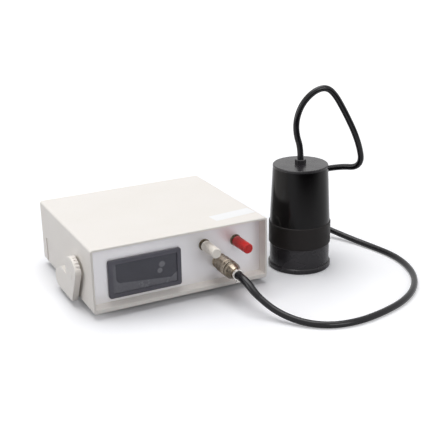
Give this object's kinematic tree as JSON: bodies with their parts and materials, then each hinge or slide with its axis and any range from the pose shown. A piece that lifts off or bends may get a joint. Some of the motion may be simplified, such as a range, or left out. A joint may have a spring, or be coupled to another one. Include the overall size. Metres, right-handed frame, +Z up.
{
  "type": "reflectance meter",
  "caption": "Bench reflectance meter: recessed front panel with display, two knobs and a probe socket, tilt stand, and a round measuring probe on its cable.",
  "frame": {"origin": "on the floor under the middle of the case and probe together, measured without the free cable and its plug", "axes": "+X to the right along the front, from the case to the probe; +Y to the back; +Z up"},
  "size_m": [0.3759, 0.3093, 0.207],
  "materials": {
    "case_plastic": "fine satin moulded plastic",
    "stand_plastic": "satin moulded plastic",
    "panel_paint": "satin grey film on aluminium",
    "meter_plastic": "satin dark plastic",
    "window_smoke": "smoked polished acrylic",
    "digit_plastic": "grey display block",
    "white_knob": "glossy white plastic",
    "red_knob": "glossy red plastic",
    "dark_metal": "blackened steel",
    "nickel": "nickel plate",
    "steel": "turned steel",
    "part_metal": "bare metal",
    "brass": "bare brass",
    "insulator": "black insulating plastic",
    "cable_black": "satin black flexible jacket",
    "foot_rubber": "matt rubber",
    "black_plastic": "black moulded plastic",
    "probe_gloss": "polished black plastic",
    "probe_satin": "satin black plastic",
    "probe_collar": "matt black plastic",
    "clear_glass": "clear glass",
    "circuit": "green laminate",
    "green_block": "green plastic",
    "core_iron": "laminated iron",
    "coil_tape": "yellow winding tape"
  },
  "bodies": {
    "root": {"lower_shell": "case_plastic", "upper_shell": "case_plastic", "stand_pivots": "stand_plastic", "front_panel": "panel_paint", "rear_panel": "panel_paint", "meter_case": "meter_plastic", "meter_back": "meter_plastic", "meter_clips": "meter_plastic", "meter_window": "window_smoke", "digit_display": "digit_plastic", "control_nuts": "dark_metal", "probe_socket": "nickel", "socket_nut": "nickel", "plug_shell": "nickel", "plug_clamp": "nickel", "case_screws": "steel", "circuit_screws": "steel", "inlet_screws": "steel", "probe_screws": "steel", "zero_potentiometer": "part_metal", "calibrate_potentiometer": "part_metal", "regulator_heatsink": "part_metal", "filter_capacitors": "part_metal", "contact_pins": "brass", "inlet_contacts": "brass", "socket_insert": "insulator", "plug_insert": "insulator", "amplifier_chips": "insulator", "lamp_holder": "insulator", "optics_block": "insulator", "photocell": "insulator", "probe_cord": "cable_black", "plug_boot": "cable_black", "feet": "foot_rubber", "mains_inlet": "black_plastic", "switch_frame": "black_plastic", "fuse_holder": "black_plastic", "probe_housing": "probe_gloss", "probe_cap": "probe_satin", "probe_base": "probe_satin", "cord_gland": "probe_satin", "gland_nut": "probe_satin", "probe_collar": "probe_collar", "aperture_glass": "clear_glass", "probe_lamp": "clear_glass", "fuse": "clear_glass", "main_circuit": "circuit", "meter_circuit": "circuit", "probe_circuit": "circuit", "terminal_block": "green_block", "transformer_core": "core_iron", "transformer_coil": "coil_tape"},
    "stand": {"tilt_stand": "stand_plastic"},
    "zero_control": {"zero_knob": "white_knob", "zero_shaft": "steel"},
    "calibrate_control": {"calibrate_knob": "red_knob", "calibrate_shaft": "steel"},
    "plug_coupling": {"coupling_ring": "nickel"},
    "switch_rocker": {"power_rocker": "black_plastic"},
    "fuse_carrier": {"fuse_cap": "black_plastic"}
  },
  "joints": [
    {"name": "stand_fold", "type": "hinge", "parent": "root", "child": "stand", "pos_m": [-0.043, -0.037, 0.0365], "axis": [-1, 0, 0], "range_deg": [0, 95]},
    {"name": "zero_turn", "type": "hinge", "parent": "root", "child": "zero_control", "pos_m": [-0.012, -0.0655, 0.0538], "axis": [0, -1, 0], "range_deg": [-150, 150]},
    {"name": "calibrate_turn", "type": "hinge", "parent": "root", "child": "calibrate_control", "pos_m": [0.0252, -0.0655, 0.0521], "axis": [0, -1, 0], "range_deg": [-150, 150]},
    {"name": "coupling_turn", "type": "hinge", "parent": "root", "child": "plug_coupling", "pos_m": [0.0055, -0.0655, 0.0316], "axis": [0, -1, 0], "range_deg": [0, 900]},
    {"name": "rocker_tip", "type": "hinge", "parent": "root", "child": "switch_rocker", "pos_m": [-0.037, 0.0845, 0.043], "axis": [-1, 0, 0], "range_deg": [0, 20]},
    {"name": "fuse_cap_turn", "type": "hinge", "parent": "root", "child": "fuse_carrier", "pos_m": [-0.068, 0.0855, 0.043], "axis": [0, 1, 0], "range_deg": [0, 60]}
  ]
}
